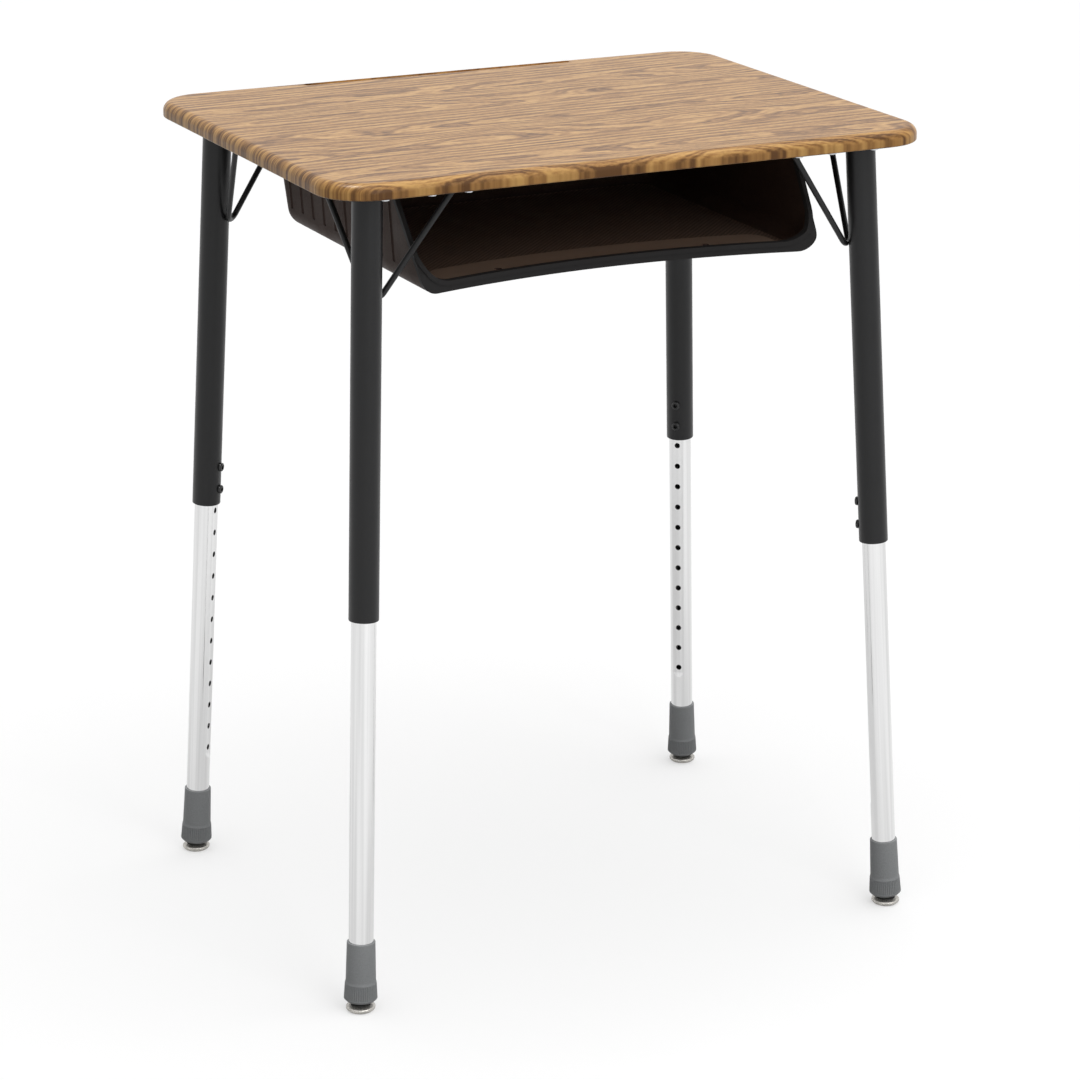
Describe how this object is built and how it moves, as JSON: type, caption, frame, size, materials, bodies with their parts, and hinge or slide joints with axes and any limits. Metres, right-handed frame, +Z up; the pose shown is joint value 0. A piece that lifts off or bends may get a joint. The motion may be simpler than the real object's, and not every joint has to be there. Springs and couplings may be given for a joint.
{
  "type": "student desk with book box",
  "caption": "Student desk with a wood-grain top, pencil groove, open-front book box and leaning height-adjustable legs on swivel glides.",
  "frame": {"origin": "on the floor under the middle of the top", "axes": "+X to the right along the long front edge, +Y from the open front of the book box to the rear, +Z up"},
  "size_m": [0.6604, 0.508, 0.8572],
  "materials": {
    "top_laminate": "satin wood-grain laminate with a moulded edge",
    "box_plastic": "moulded, lightly pebbled",
    "leg_paint": "charcoal powder coat, semi-gloss",
    "leg_chrome": "bright chrome plate",
    "boot_plastic": "moulded, matt",
    "plug_nylon": "natural nylon",
    "stem_steel": "turned, zinc plated",
    "glide_rubber": "moulded, matt",
    "glide_nickel": "pressed, bright nickel plate",
    "zinc_screws": "zinc plate",
    "black_screws": "black oxide"
  },
  "bodies": {
    "desk": {"desk_top": "top_laminate", "book_box": "box_plastic", "book_box_screws": "zinc_screws", "leg_plate_screws": "zinc_screws", "front_left_leg_plate": "leg_paint", "front_left_upper_leg": "leg_paint", "front_left_brace": "leg_paint", "front_left_height_screws": "black_screws", "front_right_leg_plate": "leg_paint", "front_right_upper_leg": "leg_paint", "front_right_brace": "leg_paint", "front_right_height_screws": "black_screws", "rear_right_leg_plate": "leg_paint", "rear_right_upper_leg": "leg_paint", "rear_right_brace": "leg_paint", "rear_right_height_screws": "black_screws", "rear_left_leg_plate": "leg_paint", "rear_left_upper_leg": "leg_paint", "rear_left_brace": "leg_paint", "rear_left_height_screws": "black_screws"},
    "front_left_leg": {"front_left_lower_leg": "leg_chrome", "front_left_boot": "boot_plastic", "front_left_leg_plug": "plug_nylon", "front_left_glide_stem": "stem_steel"},
    "front_left_glide": {"front_left_glide_cushion": "glide_rubber", "front_left_glide_base": "glide_nickel"},
    "front_right_leg": {"front_right_lower_leg": "leg_chrome", "front_right_boot": "boot_plastic", "front_right_leg_plug": "plug_nylon", "front_right_glide_stem": "stem_steel"},
    "front_right_glide": {"front_right_glide_cushion": "glide_rubber", "front_right_glide_base": "glide_nickel"},
    "rear_right_leg": {"rear_right_lower_leg": "leg_chrome", "rear_right_boot": "boot_plastic", "rear_right_leg_plug": "plug_nylon", "rear_right_glide_stem": "stem_steel"},
    "rear_right_glide": {"rear_right_glide_cushion": "glide_rubber", "rear_right_glide_base": "glide_nickel"},
    "rear_left_leg": {"rear_left_lower_leg": "leg_chrome", "rear_left_boot": "boot_plastic", "rear_left_leg_plug": "plug_nylon", "rear_left_glide_stem": "stem_steel"},
    "rear_left_glide": {"rear_left_glide_cushion": "glide_rubber", "rear_left_glide_base": "glide_nickel"}
  },
  "joints": [
    {"name": "front_left_height_slide", "type": "slide", "parent": "desk", "child": "front_left_leg", "axis": [0.0437, 0.0437, 0.9981], "range_m": [0, 0.3048]},
    {"name": "front_left_glide_swivel", "type": "hinge", "parent": "front_left_leg", "child": "front_left_glide", "pos_m": [-0.31073, -0.23533, 0.0062], "axis": [-0.7071, 0.7071, 0], "range_deg": [-8, 8]},
    {"name": "front_right_height_slide", "type": "slide", "parent": "desk", "child": "front_right_leg", "axis": [-0.0437, 0.0437, 0.9981], "range_m": [0, 0.3048]},
    {"name": "front_right_glide_swivel", "type": "hinge", "parent": "front_right_leg", "child": "front_right_glide", "pos_m": [0.31073, -0.23533, 0.0062], "axis": [-0.7071, -0.7071, 0], "range_deg": [-8, 8]},
    {"name": "rear_right_height_slide", "type": "slide", "parent": "desk", "child": "rear_right_leg", "axis": [-0.0437, -0.0437, 0.9981], "range_m": [0, 0.3048]},
    {"name": "rear_right_glide_swivel", "type": "hinge", "parent": "rear_right_leg", "child": "rear_right_glide", "pos_m": [0.31073, 0.23533, 0.0062], "axis": [0.7071, -0.7071, 0], "range_deg": [-8, 8]},
    {"name": "rear_left_height_slide", "type": "slide", "parent": "desk", "child": "rear_left_leg", "axis": [0.0437, -0.0437, 0.9981], "range_m": [0, 0.3048]},
    {"name": "rear_left_glide_swivel", "type": "hinge", "parent": "rear_left_leg", "child": "rear_left_glide", "pos_m": [-0.31073, 0.23533, 0.0062], "axis": [0.7071, 0.7071, 0], "range_deg": [-8, 8]}
  ]
}
